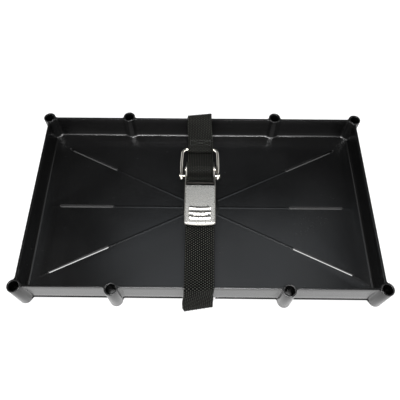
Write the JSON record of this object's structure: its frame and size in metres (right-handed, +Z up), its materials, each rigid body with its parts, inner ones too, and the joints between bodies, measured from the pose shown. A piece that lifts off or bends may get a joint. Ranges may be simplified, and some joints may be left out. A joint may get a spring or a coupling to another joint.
{
  "type": "battery tray",
  "caption": "Open rectangular battery tray with hollow screw tubes in its walls and a webbing hold-down strap closed by an over-centre lever buckle.",
  "frame": {"origin": "middle of the footprint on the surface that the tray stands on", "axes": "+X along the tray's length, +Y from the front wall (lever's handle) to the rear wall, +Z up"},
  "size_m": [0.3236, 0.197, 0.0484],
  "materials": {
    "moulded_black": "satin moulded polypropylene with a soft gloss",
    "webbing": "plain-woven polypropylene webbing",
    "stainless_sheet": "satin stamped stainless sheet",
    "stainless_wire": "bright drawn stainless wire"
  },
  "bodies": {
    "base": {"tray": "moulded_black", "strap_wrap": "webbing", "strap_rear_span": "webbing", "buckle_frame": "stainless_sheet", "hinge_pin": "stainless_wire"},
    "lever": {"lever": "stainless_sheet", "grip_bar": "stainless_wire", "bail_rivet_left": "stainless_wire", "bail_rivet_right": "stainless_wire"},
    "bail": {"bail": "stainless_wire"},
    "strap_end": {"strap_loop": "webbing"}
  },
  "joints": [
    {"name": "lever_hinge", "type": "hinge", "parent": "base", "child": "lever", "pos_m": [0, 0.021, 0.043], "axis": [-1, 0, 0], "range_deg": [0, 150], "deforming": ["strap_rear_span"]},
    {"name": "bail_pivot", "type": "hinge", "parent": "lever", "child": "bail", "pos_m": [0, 0.015, 0.0422], "axis": [-1, 0, 0], "range_deg": [-150, 0]},
    {"name": "loop_pivot", "type": "hinge", "parent": "bail", "child": "strap_end", "pos_m": [0, 0.0455, 0.0405], "axis": [-1, 0, 0], "range_deg": [0, 12]}
  ],
  "couplings": [
    {"joint": "bail_pivot", "follows": "lever_hinge", "ratio": -1},
    {"joint": "loop_pivot", "follows": "lever_hinge", "ratio": 0.075}
  ]
}
